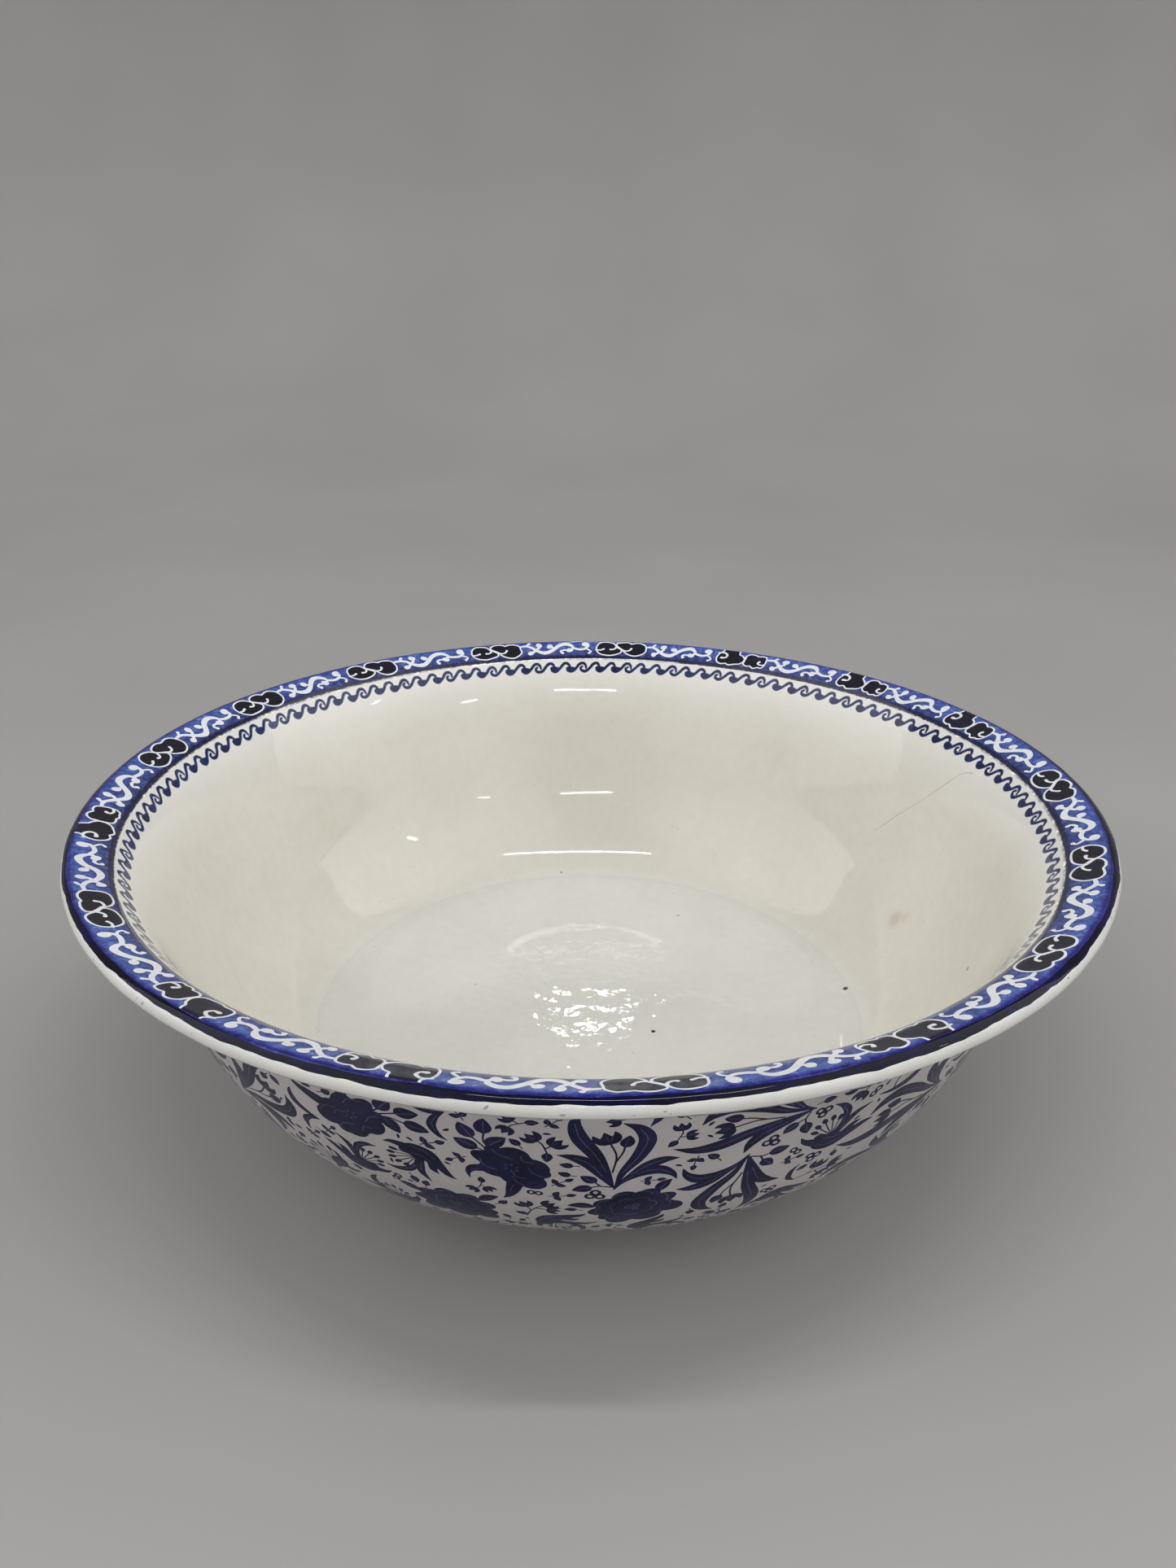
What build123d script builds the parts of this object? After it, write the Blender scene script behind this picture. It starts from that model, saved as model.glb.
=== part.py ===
"""Large round serving bowl of glazed earthenware, printed in cobalt blue.

Millimetres.  +Z is up and is the axis of the bowl.  The origin is on the surface
the bowl stands on, at the centre of the foot ring.  Every piece is a solid of
revolution: its half section is drawn in the X-Z plane (X is the radius) and
turned about Z.  The printed and painted layers are inlaid in the body, so each
one meets it face to face and the outside of the bowl runs through unbroken.
"""
import os

from build123d import *

# ---- driving sizes -------------------------------------------------------
RIM_R = 200.0            # radius of the bowl over the lip
HEIGHT = 128.0           # from the table to the crest of the lip
FLOOR_Z = 14.0           # middle of the inside floor
BASE_Z = 7.5             # underside of the body, where the foot ring joins it
LAYER = 0.5              # thickness of every printed, painted or glaze layer

# ---- lip: a round bead at the end of the flared rim -------------------------
LIP_R = 3.8              # radius of the bead
LIP_X = RIM_R - LIP_R    # centre of the bead
LIP_Z = HEIGHT - LIP_R
BEAD_START = 110.0       # angle round the bead where the rim's top face runs into it
LINE_START = 87.0        # where the printed border stops and the painted line starts
LINE_END = 42.0          # where the line stops; the bead is bare white from there
FLORAL_START = -25.0     # where the bare white stops and the printed flowers start
BEAD_END = -78.0         # angle round the bead where the underside of the rim starts

# ---- stations of the section (radius, height) and its slope there, degrees ----
FLOOR_POINTS = [(60.0, 14.4), (108.0, 16.6), (127.5, 23.0), (142.2, 36.5),
                (153.2, 54.0), (162.4, 78.0), (170.6, 100.5)]
SCROLL_LOW = (176.2, 113.4)     # lower edge of the scroll edging
SCROLL_LOW_SLOPE = 62.0
SCROLL_MID = (178.7, 117.4)
SCROLL_TOP = (181.4, 120.8)     # upper edge of it, and inner edge of the border
SCROLL_TOP_SLOPE = 50.0
BORDER_POINTS = [(183.4, 122.9), (189.0, 125.6)]
BORDER_OUT_SLOPE = BEAD_START - 90.0
UNDER_RIM_POINTS = [(190.2, 118.7), (184.2, 114.2)]
NECK = (178.6, 105.0)           # where the wall starts to flare out into the rim
NECK_SLOPE = -109.0
WALL_POINTS = [(165.6, 66.0), (149.4, 35.8), (129.0, 17.0)]
WALL_FOOT_SLOPE = -158.0

# ---- foot ring ------------------------------------------------------------
FOOT_TOP_OUT = 107.0            # where its outer side meets the wall
FOOT_TOP_IN = 94.0
FOOT_TOP_SLOPE = -140.0         # the outer side leaves the wall in a hollow
FOOT_WAIST = (104.6, 4.6)       # middle of that hollow
FOOT_SIDE_SLOPE = -95.0         # slope of the side where the rounding starts
FOOT_FLAT_OUT = 102.6           # the unglazed flat that touches the table
FOOT_FLAT_IN = 97.6
FOOT_EDGE = 1.2                 # radius of the rounding either side of the flat
QUARTER_SAG = 1 - 0.5 ** 0.5    # a quarter arc's middle, as a share of its radius

# ---- how many points carry each curve down into the body ------------------
FLOOR_COUNT = 17
SCROLL_COUNT = 4
BORDER_COUNT = 7
NECK_COUNT = 5
WALL_COUNT = 9
BEAD_COUNT = 5


def place(point):
    """A section point (radius, height) in space."""
    return Vector(point[0], 0, point[1])


def direction(angle):
    """Unit vector in the section plane at an angle from the outward horizontal."""
    return Vector(1, 0, 0).rotate(Axis.Y, -angle)


def on_bead(angle, radius=LIP_R):
    """Point on the bead at an angle from the outward horizontal."""
    return Vector(LIP_X, 0, LIP_Z) + direction(angle) * radius


def bead_arc(first, last):
    return ThreePointArc(on_bead(first), on_bead((first + last) / 2), on_bead(last))


def flow(places, start_slope, end_slope):
    """Smooth curve through points, leaving and arriving at set slopes."""
    return Spline(places, tangents=[direction(start_slope), direction(end_slope)])


def bead_flow(first, last, radius=LIP_R):
    """Smooth curve round the bead; a smaller radius puts it inside the clay."""
    step = (last - first) / (BEAD_COUNT - 1)
    places = [on_bead(first + step * i, radius) for i in range(BEAD_COUNT)]
    return flow(places, first - 90, last - 90)


def inset(curve, count):
    """The curve moved LAYER into the body, which lies to its right hand."""
    moved = []
    for i in range(count):
        at = i / (count - 1)
        into_body = (curve % at).rotate(Axis.Y, 90)
        moved.append(curve @ at + into_body * LAYER)
    return Spline(moved, tangents=[curve % 0, curve % 1])


def turned(edges):
    """The solid swept by a closed half section."""
    return revolve(make_face(Curve() + edges), Axis.Z, 360)


def layer(outer, inner):
    """A layer between its visible curves and the ones where it meets the body."""
    ends = [Line(outer[0] @ 0, inner[0] @ 0), Line(outer[-1] @ 1, inner[-1] @ 1)]
    return turned(outer + inner + ends)


def foot_rounding(flat_edge, outward):
    """Quarter round between a side of the foot and its flat."""
    side = place((flat_edge + outward * FOOT_EDGE, FOOT_EDGE))
    sag = QUARTER_SAG * FOOT_EDGE
    middle = place((flat_edge + outward * (FOOT_EDGE - sag), sag))
    return ThreePointArc(side, middle, place((flat_edge, 0)))


# ---- visible curves, from the middle of the floor over the lip to the foot ----
floor_places = [place(p) for p in [(0, FLOOR_Z)] + FLOOR_POINTS + [SCROLL_LOW]]
floor_and_wall = flow(floor_places, 0, SCROLL_LOW_SLOPE)
scroll_places = [place(p) for p in (SCROLL_LOW, SCROLL_MID, SCROLL_TOP)]
scroll_face = flow(scroll_places, SCROLL_LOW_SLOPE, SCROLL_TOP_SLOPE)
border_places = [place(p) for p in [SCROLL_TOP] + BORDER_POINTS] + [on_bead(BEAD_START)]
border_face = flow(border_places, SCROLL_TOP_SLOPE, BORDER_OUT_SLOPE)
border_turn = bead_flow(BEAD_START, LINE_START)
line_face = bead_flow(LINE_START, LINE_END)
bare_bead = bead_arc(LINE_END, FLORAL_START)
floral_turn = bead_flow(FLORAL_START, BEAD_END)
neck_places = [on_bead(BEAD_END)] + [place(p) for p in UNDER_RIM_POINTS + [NECK]]
neck_face = flow(neck_places, BEAD_END - 90, NECK_SLOPE)
wall_places = [place(p) for p in [NECK] + WALL_POINTS + [(FOOT_TOP_OUT, BASE_Z)]]
wall_face = flow(wall_places, NECK_SLOPE, WALL_FOOT_SLOPE)

# ---- the same curves a layer deeper, where the body begins ----
under_floor = inset(floor_and_wall, FLOOR_COUNT)
under_scroll = inset(scroll_face, SCROLL_COUNT)
under_border = inset(border_face, BORDER_COUNT)
under_turn = bead_flow(BEAD_START, LINE_START, LIP_R - LAYER)
under_line = bead_flow(LINE_START, LINE_END, LIP_R - LAYER)
under_floral_turn = bead_flow(FLORAL_START, BEAD_END, LIP_R - LAYER)
under_neck = inset(neck_face, NECK_COUNT)
under_wall = inset(wall_face, WALL_COUNT)

# ---- pieces -----------------------------------------------------------------
bowl_body = turned([
    under_floor, under_scroll, under_border, under_turn, under_line,
    Line(under_line @ 1, line_face @ 1),
    bare_bead,
    Line(floral_turn @ 0, under_floral_turn @ 0),
    under_floral_turn, under_neck, under_wall,
    Line(under_wall @ 1, wall_face @ 1),
    Line(wall_face @ 1, place((0, BASE_Z))),
    Line(place((0, BASE_Z)), under_floor @ 0),
])

foot_outer_low = place((FOOT_FLAT_OUT + FOOT_EDGE, FOOT_EDGE))
foot_inner_low = place((FOOT_FLAT_IN - FOOT_EDGE, FOOT_EDGE))
foot_ring = turned([
    Line(place((FOOT_TOP_IN, BASE_Z)), place((FOOT_TOP_OUT, BASE_Z))),
    flow([place((FOOT_TOP_OUT, BASE_Z)), place(FOOT_WAIST), foot_outer_low],
         FOOT_TOP_SLOPE, FOOT_SIDE_SLOPE),
    foot_rounding(FOOT_FLAT_OUT, 1),
    Line(place((FOOT_FLAT_OUT, 0)), place((FOOT_FLAT_IN, 0))),
    foot_rounding(FOOT_FLAT_IN, -1),
    Line(foot_inner_low, place((FOOT_TOP_IN, BASE_Z))),
])

pieces = {
    "bowl_body": bowl_body,
    "foot_ring": foot_ring,
    "inner_glaze": layer([floor_and_wall], [under_floor]),
    "scroll_edge_print": layer([scroll_face], [under_scroll]),
    "rim_border_print": layer([border_face, border_turn], [under_border, under_turn]),
    "lip_line": layer([line_face], [under_line]),
    "floral_print": layer([floral_turn, neck_face, wall_face],
                          [under_floral_turn, under_neck, under_wall]),
}

os.makedirs("parts", exist_ok=True)
for name, shape in pieces.items():
    export_step(shape, f"parts/{name}.step")
    print(name, "volume", round(shape.volume), "valid", shape.is_valid)
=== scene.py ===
"""Large blue printed earthenware bowl.

Every visible sheet of the bowl is cut from its section turned about Z.  The
printed decoration is real geometry: each pattern is drawn flat, in millimetres,
cut into the sheet's mesh, and shared out to pieces of ink, white and ground,
so that all of them lie in one smooth surface under one glaze.
"""
import math
import random

import bpy
import numpy as np
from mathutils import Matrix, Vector
from mathutils.geometry import delaunay_2d_cdt


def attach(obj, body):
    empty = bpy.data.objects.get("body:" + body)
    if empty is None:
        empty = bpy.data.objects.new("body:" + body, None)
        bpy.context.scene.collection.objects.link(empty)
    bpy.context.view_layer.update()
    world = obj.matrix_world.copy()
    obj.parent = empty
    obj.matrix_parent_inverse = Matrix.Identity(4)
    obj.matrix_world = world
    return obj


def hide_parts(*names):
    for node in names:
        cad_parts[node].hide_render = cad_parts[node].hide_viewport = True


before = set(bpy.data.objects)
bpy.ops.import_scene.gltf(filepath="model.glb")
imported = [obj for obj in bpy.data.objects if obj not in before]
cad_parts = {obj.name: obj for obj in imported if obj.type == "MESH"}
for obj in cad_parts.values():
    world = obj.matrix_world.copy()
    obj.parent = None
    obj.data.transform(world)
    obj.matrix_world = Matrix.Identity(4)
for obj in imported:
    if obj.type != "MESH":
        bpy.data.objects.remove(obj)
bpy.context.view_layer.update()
SEED = 11
MM = .001
FULL_TURN = 2 * math.pi

# ---- the section
RIM_R, HEIGHT, FLOOR_Z, BASE_Z = 200.0, 128.0, 14.0, 7.5
LIP_R = 3.8
# angles round the bead: its start; the ends of the border, of the line, of the bare white; its end
BEAD_START, BORDER_END, LINE_END, BARE_END, BEAD_END = 110.0, 87.0, 42.0, -25.0, -78.0
# stations of the section (radius, height)
FLOOR_POINTS = [(0.0, FLOOR_Z), (60.0, 14.4), (108.0, 16.6), (127.5, 23.0), (142.2, 36.5),
                (153.2, 54.0), (162.4, 78.0), (170.6, 100.5), (176.2, 113.4)]
SCROLL_POINTS = [FLOOR_POINTS[-1], (178.7, 117.4), (181.4, 120.8)]
BORDER_POINTS = [SCROLL_POINTS[-1], (183.4, 122.9), (189.0, 125.6)]
NECK_POINTS = [(190.2, 118.7), (184.2, 114.2), (178.6, 105.0)]
WALL_POINTS = [NECK_POINTS[-1], (165.6, 66.0), (149.4, 35.8), (129.0, 17.0), (107.0, BASE_Z)]
# slopes of each run at its two ends, in degrees
SLOPES = {"floor": (0, 62), "scroll": (62, 50), "border": (50, 20), "neck": (-168, -109),
          "wall": (-109, -158)}
SAMPLE = .05  # spacing of the points the section is stored at


def heading(angle):
    return np.array([math.cos(math.radians(angle)), math.sin(math.radians(angle))])


def on_bead(angle):
    return np.array([RIM_R - LIP_R, HEIGHT - LIP_R]) + heading(angle) * LIP_R


def spline(points, slopes):
    """Points of the smooth cubic through stations, with its slopes at both ends."""
    p = np.array(points, float)
    t = np.r_[0, np.cumsum(np.hypot(*np.diff(p, axis=0).T))]
    h = np.diff(t)
    n = len(p)
    system = np.eye(n)
    right = np.zeros((n, 2))
    right[0], right[-1] = heading(slopes[0]), heading(slopes[1])
    for i in range(1, n - 1):
        system[i, i - 1:i + 2] = h[i], 2 * (h[i - 1] + h[i]), h[i - 1]
        right[i] = 3 * (h[i] * (p[i] - p[i - 1]) / h[i - 1] + h[i - 1] * (p[i + 1] - p[i]) / h[i])
    d = np.linalg.solve(system, right)
    at = np.linspace(0, t[-1], int(t[-1] / SAMPLE))
    k = np.clip(np.searchsorted(t, at, side="right") - 1, 0, n - 2)
    u = ((at - t[k]) / h[k])[:, None]
    hk = h[k][:, None]
    return ((2 * u ** 3 - 3 * u ** 2 + 1) * p[k] + (u ** 3 - 2 * u ** 2 + u) * hk * d[k]
            + (3 * u ** 2 - 2 * u ** 3) * p[k + 1] + (u ** 3 - u ** 2) * hk * d[k + 1])


def bead(first, last):
    count = int(abs(math.radians(last - first)) * LIP_R / SAMPLE)
    return np.array([on_bead(a) for a in np.linspace(first, last, count)])


runs = {
    "floor": spline(FLOOR_POINTS, SLOPES["floor"]),
    "scroll": spline(SCROLL_POINTS, SLOPES["scroll"]),
    "border": spline(BORDER_POINTS + [on_bead(BEAD_START)], SLOPES["border"]),
    "bead": bead(BEAD_START, BEAD_END),
    "neck": spline([on_bead(BEAD_END)] + NECK_POINTS, SLOPES["neck"]),
    "wall": spline(WALL_POINTS, SLOPES["wall"]),
}
path, span, length = [], {}, 0.0
for run_name, pts in runs.items():
    run_length = np.hypot(*np.diff(pts, axis=0).T).sum()
    span[run_name] = (length, length + run_length)
    length += run_length
    path.append(pts[:-1])
path = np.vstack(path + [runs["wall"][-1:]])
path_s = np.r_[0, np.cumsum(np.hypot(*np.diff(path, axis=0).T))]
path_t = np.gradient(path, path_s, axis=0)
for _ in range(3):  # evens out the joints between the runs
    path_t[1:-1] = (path_t[:-2] + path_t[1:-1] + path_t[2:]) / 3
path_t /= np.hypot(*path_t.T)[:, None]

# ---- the hand-made unevenness of the clay
# wavelength and height of each, in mm
WAVES = [(340, .3), (230, .16), (120, .07), (74, .045), (52, .03), (38, .018)]
RIPPLES = [(30, .035), (21, .03), (14, .022), (9.5, .012)]  # on the lip only
LIP_REACH = 7.0               # how far the ripples reach from the middle of the lip
CALM = .75                    # share of the waves that the floor lacks
CALM_TO, CALM_EDGE = 110, 50  # section length where it lacks none, and how gradually it gets there


def wave_table(waves, seed, copies):
    """Rows of (wave vector, phase, height): copies of each wave, in directions of their own."""
    rng = np.random.default_rng(seed)
    rows = []
    for wavelength, height in waves:
        for _ in range(copies):
            k = rng.normal(size=3) * (1, 1, .6)
            k *= FULL_TURN / wavelength / np.linalg.norm(k)
            rows.append([*k, rng.uniform(0, FULL_TURN), height / copies ** .5])
    return np.array(rows)


wave_rows = wave_table(WAVES, SEED, 3)
ripple_rows = wave_table(RIPPLES, SEED + 1, 4)


def surface(theta, s):
    """Places in metres and unit normals of the glazed surface, angle by section length."""
    r, z = np.interp(s, path_s, path[:, 0]), np.interp(s, path_s, path[:, 1])
    tr, tz = np.interp(s, path_s, path_t[:, 0]), np.interp(s, path_s, path_t[:, 1])
    c, si = np.cos(theta), np.sin(theta)
    base = np.stack([r * c, r * si, z], 1)
    normal = np.stack([-tz * c, -tz * si, tr], 1)
    near_lip = np.exp(-(((s - sum(span["bead"]) / 2) / LIP_REACH) ** 2))
    calm_floor = 1 - CALM * np.clip((CALM_TO - s) / CALM_EDGE, 0, 1)
    lift = np.zeros(len(s))
    slope = np.zeros((len(s), 3))
    for rows, weight in ((wave_rows, calm_floor), (ripple_rows, near_lip)):
        for kx, ky, kz, phase, height in rows:
            angle = base @ (kx, ky, kz) + phase
            lift += weight * height * np.sin(angle)
            slope += (weight * height * np.cos(angle))[:, None] * (kx, ky, kz)
    slope -= (slope * normal).sum(1)[:, None] * normal
    place = base + normal * lift[:, None]
    normal = normal - slope
    return place * MM, normal / np.linalg.norm(normal, axis=1)[:, None]


# ---- drawing flat, in millimetres
VEIN, PETAL_EDGE, STALK = .36, .34, .6  # widths of light veins and edges, and of stalks
THINNEST = .06                          # no stroke is drawn finer
SPACING = .6                            # between the points of a curve


def smooth(points, closed=False, spacing=SPACING):
    """Catmull-Rom curve through control points (any number of columns)."""
    p = np.array(points, float)
    if closed:
        chain = np.vstack([p[-1:], p, p[:2]])
    else:
        chain = np.vstack([2 * p[:1] - p[1:2], p, 2 * p[-1:] - p[-2:-1]])
    out = []
    for a, b, c, d in zip(chain, chain[1:], chain[2:], chain[3:]):
        steps = max(2, int(np.hypot(*(c - b)[:2]) / spacing + .5))
        u = np.arange(steps)[:, None] / steps
        out.append(.5 * (2 * b + (c - a) * u + (2 * a - 5 * b + 4 * c - d) * u ** 2
                         + (3 * b - a - 3 * c + d) * u ** 3))
    if not closed:
        out.append(p[-1:])
    return np.vstack(out)


def unit(vectors):
    return vectors / (np.hypot(*vectors.T)[:, None] + 1e-9)


def disc(x, y, r, ry=None, turn=0.0):
    count = max(9, int(4 + r * 6))
    a = np.arange(count) * FULL_TURN / count
    return moved(np.stack([r * np.cos(a), (ry or r) * np.sin(a)], 1), x, y, turn)


def moved(p, x=0.0, y=0.0, turn=0.0, size=1.0, flip=False):
    p = p * (size, -size if flip else size)
    c, s = math.cos(math.radians(turn)), math.sin(math.radians(turn))
    return p @ np.array([[c, s], [-s, c]]) + (x, y)


def stroke(points, spacing=SPACING):
    """Outline of a brush stroke; each control point is (x, y, width)."""
    line = smooth(points, spacing=spacing)
    centre = line[:, :2]
    half = np.maximum(line[:, 2:3], THINNEST) / 2
    along = unit(np.gradient(centre, axis=0))
    side = np.stack([-along[:, 1], along[:, 0]], 1)
    caps = []
    a = np.radians([60, 30, 0, -30, -60])[:, None]
    for end, sign in ((-1, 1), (0, -1)):
        caps.append(centre[end] + half[end] * sign * (np.sin(a) * side[end] + np.cos(a) * along[end]))
    left, right = centre + side * half, centre - side * half
    return np.vstack([left, caps[0], right[::-1], caps[1]])


def leaf(x0, y0, x1, y1, width, bend=0.0, blunt=.9):
    """Pointed leaf from a stalk end to a tip, bowed sideways by bend."""
    a, b = np.array([x0, y0], float), np.array([x1, y1], float)
    run = b - a
    size = np.hypot(*run)
    off = np.array([-run[1], run[0]]) / size
    t = np.linspace(0, 1, max(7, int(size / .8)))[:, None]
    centre = a + run * t + off * (bend * 4 * t * (1 - t))
    half = width / 2 * np.sin(math.pi * t ** blunt) ** .8
    side = np.gradient(centre, axis=0)
    side = np.stack([-side[:, 1], side[:, 0]], 1) / np.hypot(*side.T)[:, None]
    return np.vstack([centre + side * half, (centre - side * half)[-2:0:-1]])


def inflated(p, by):
    """A closed outline moved outwards."""
    along = unit(np.roll(p, -1, 0) - np.roll(p, 1, 0))
    area = (p[:, 0] * np.roll(p[:, 1], -1) - p[:, 1] * np.roll(p[:, 0], -1)).sum()
    return p + np.stack([along[:, 1], -along[:, 0]], 1) * by * np.sign(area)


def arc(x, y, r, first, last):
    a = np.radians(np.linspace(first, last, 5))
    return stroke([(x + r * math.cos(k), y + r * math.sin(k), PETAL_EDGE) for k in a])


def scalloped(rx, ry, lobes, depth, start=0.0):
    """Rounded outline of overlapping petals."""
    a = np.radians(np.arange(0, 360, 4.0))
    r = 1 - depth + 2 * depth * np.abs(np.sin(lobes * a / 2 + start))
    return np.stack([rx * r * np.cos(a), ry * r * np.sin(a)], 1)


def polar(reach, turn, squash=1.0):
    a = math.radians(turn)
    return reach * math.cos(a), reach * squash * math.sin(a)


def placed(shapes, *pose):
    return [(kind, moved(p, *pose)) for kind, p in shapes]


def inks(*outlines):
    return [("ink", p) for p in outlines]


def veins(*lines):
    """Fine light lines left in the ink."""
    return [("vein", stroke([(x, y, VEIN) for x, y in line])) for line in lines]


def stalk(*points):
    return stroke([(x, y, STALK) for x, y in points])


# ---- motifs of the outside print
def bud(x, y, turn, size=1):
    """Half-open flower of three pointed lobes."""
    parts = [leaf(-.6, 0, 5.6, .2, 3.2, 0, .7), leaf(-.4, .3, 5.2, 3, 2.6, 1),
             leaf(-.4, -.3, 5.2, -3, 2.6, -1), disc(1.8, 0, 2.3, 2.1)]
    lines = [(1, 0), (3.4, .1)], [(1, .6), (3.2, 1.7)]
    return placed(inks(*parts) + veins(*lines), x, y, turn, size)


def round_leaf(x, y, turn, size=1):
    parts = inks(leaf(-.4, 0, 7, .4, 4.9, .2, .78))
    parts += veins([(.8, 0), (3.2, .2), (5.4, .3)])
    return placed(parts, x, y, turn, size)


def several(maker, *poses):
    return [shape for pose in poses for shape in maker(*pose)]


def fan():
    """Spray of long curling leaves from one point, with buds between them."""
    blades = [
        [(0, 0, .6), (5, 1, 1.7), (10.2, 3.8, 3.9), (13, 8.4, 4.6), (11.8, 13, 2.6), (9, 15.8, .3)],
        [(3, .4, .5), (9, 1.8, 1.3), (14.6, 4.8, 3.7), (18.2, 8.4, 3.3), (19.6, 12.2, .3)],
        [(1, 0, .6), (9.6, -.6, 2.4), (18.6, .8, 4.1), (26.6, .4, 4.8), (31, -3.2, 3.6),
         (32.4, -8.2, .3)],
        [(1, -.4, .6), (8.6, -5, 2.5), (16, -10.4, 4.3), (22.6, -16.6, 4.9), (28.8, -19.8, 3.3),
         (35.4, -20.2, .3)],
        [(1, -.6, .6), (6.4, -5.4, 3), (11.4, -10.6, 4.5), (13.2, -15.6, 3.3), (13, -20, .4)]]
    out = inks(*(stroke(b, .9) for b in blades))
    out += veins(*([(q[0], q[1]) for q in b[1:-1]] for b in blades))
    out += inks(stalk((9, -3.4), (17, -4.9), (22.6, -8.4)),
                stalk((14, -4.2), (19.4, -3.9), (22.8, -4.4)),
                stalk((1, -1.4), (.6, -4.8), (-1, -6.8)), stalk((.7, -4.2), (2.6, -6.4)))
    return out + bud(22.6, -8.4, -38) + several(
        round_leaf, (22, -4.3, -8, .8), (-.8, -6.4, 232, .85), (2.4, -6.2, 290, .8))


def poppy():
    """Full flower seen from the side, with two horned leaves and a branch of round ones."""
    out = inks(scalloped(11.2, 7.6, 7, .12, .5), disc(-8.2, 1.8, 4.6, 4),
               disc(3.4, -5.6, 4.6, 3.8, 20), disc(-4.4, -5.2, 4.4, 3.6, -16),
               stroke([(-5.4, 5.6, 5), (-7.4, 9.8, 4.2), (-8.8, 13.6, 2.4), (-8.9, 16.6, .3)]),
               stroke([(4.6, 5.8, 3.8), (6.9, 9.2, 3.2), (6.4, 12.2, 1.6), (4.4, 14.4, .3)]),
               stalk((9, -3), (12.6, -4.8), (15, -8.4)), stalk((9, -2), (13, -3.2), (16, -4)),
               stalk((9, -1), (12, -.8)))
    out += veins([(-9.6, 4.4), (-6.2, 5.2), (-2.8, 3.6)], [(2.2, 4.2), (5.8, 5), (8.8, 2.8)],
                 [(-9.6, -3), (-6.2, -2.2), (-3, -3.6)], [(2.6, -3.8), (6.2, -2.8), (9, -3.4)],
                 [(-6, 1.6), (-3.4, 2.8), (-1.6, 1.2)], [(-2.6, -6.6), (0, -5.2), (1.8, -6.8)],
                 [(-5.8, 7.2), (-7.6, 11.2)], [(5.6, 7.6), (6.5, 10.6)])
    for k in range(6):
        out.append(("vein", disc(1.9 * math.cos(k * 1.05), 1.5 * math.sin(k * 1.05), .5, .3, k * 60)))
    return out + several(round_leaf, (12, -.8, 8), (15.8, -3.9, -28), (14.8, -8, -58), (10.6, -4, -100))


def rosette():
    """Round flower of petals with light edges, two stalked berries and leaves."""
    out = inks(scalloped(7.9, 7.4, 8, .09), stalk((-6, 1.6), (-9.4, 2.4), (-11.4, 4)),
               stalk((-6, 0), (-9.6, -.2)), disc(-12, 4.6, 1.9), disc(-11, -.6, 1.9),
               stalk((6, -2), (9.4, -1.6), (11.4, .6)), stalk((-3, -6), (-4.4, -8)))
    for k in range(8):
        turn = 45 * k
        out.append(("vein", arc(*polar(4.6, turn + 12), 2, turn - 46, turn + 70)))
    out += [("vein", disc(0, 0, 1.9)), ("ink", disc(0, 0, 1.45)), ("vein", disc(0, 0, .6))]
    return out + bud(10.6, -.2, 34, .9) + several(
        round_leaf, (9, -2, -36, .9), (-4.2, -7.4, 232, 1.1))


def peony():
    """Heavy double flower, petals in rows round small light rings."""
    out = inks(scalloped(13.4, 10.4, 9, .1, .3), disc(-9, -6.6, 4.8, 4, 30),
               disc(8.4, -7.2, 4.8, 4, -30), disc(0, -9.6, 5, 3.8))
    for count, reach, r, start in ((9, 8.8, 3.4, 10), (7, 4.9, 2.6, 40)):
        for k in range(count):
            turn = 360 / count * k + start
            out.append(("vein", arc(*polar(reach, turn, .78), r, turn - 62, turn + 62)))
    for x, y in ((-1.3, .6), (1.4, .7), (0, -1.5)):
        out += [("vein", disc(x, y, 1.15)), ("ink", disc(x, y, .7))]
    out += inks(leaf(10, 6, 17, 11, 4, 1), leaf(-11, 5, -17.4, 9.6, 4, -1))
    return out + veins([(11.4, 7.6), (14.6, 10)], [(-12.2, 6.6), (-15.4, 8.8)])


def lily():
    """Open lily: two upright petals, a fan of stamens and long curved side petals."""
    out = inks(stroke([(-.6, -7.2, .5), (-3.2, -3.6, 4.2), (-3.4, 1, 5.2), (-.8, 5, 3.8),
                       (2.6, 9.4, 2.4), (3.6, 12.4, .3)]),
               stroke([(.4, -5.6, 2.4), (-1.2, -.8, 5), (-.4, 3.2, 3.6), (3.4, 5.2, 2.4),
                       (4.6, 7.2, .4)]),
               stroke([(0, 0, 2.2), (4.6, 1.4, 2.6), (8.6, 3.2, 2.4), (11.8, 7.2, .3)]),
               stroke([(.6, -.8, 1.2), (5.4, .2, 1.8), (10.2, -.6, 2.6), (13.4, -3.6, 2),
                       (14.6, -7, .3)]),
               stroke([(-1.8, -6, 3.4), (-.6, -9.4, 2), (1.4, -11.4, .3)]))
    for k, reach in enumerate((8.6, 9.8, 10.2, 9.6, 8.4)):
        turn = -14 - 14 * k
        x, y = polar(reach, turn)
        out += inks(stroke([(.6, -1, .4), (x * .6, y * .6 - .4, .4), (x, y, .4)]),
                    disc(x, y, 1.45, .85, turn))
    return out + veins([(-3.6, -4.6), (-4, -.2), (-2.4, 3.6)], [(-.6, -2.6), (-.9, .6), (.4, 3.2)],
                       [(3, 1), (7.2, 2.4)], [(6, .2), (10.2, -.8), (12.6, -3.2)])


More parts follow.
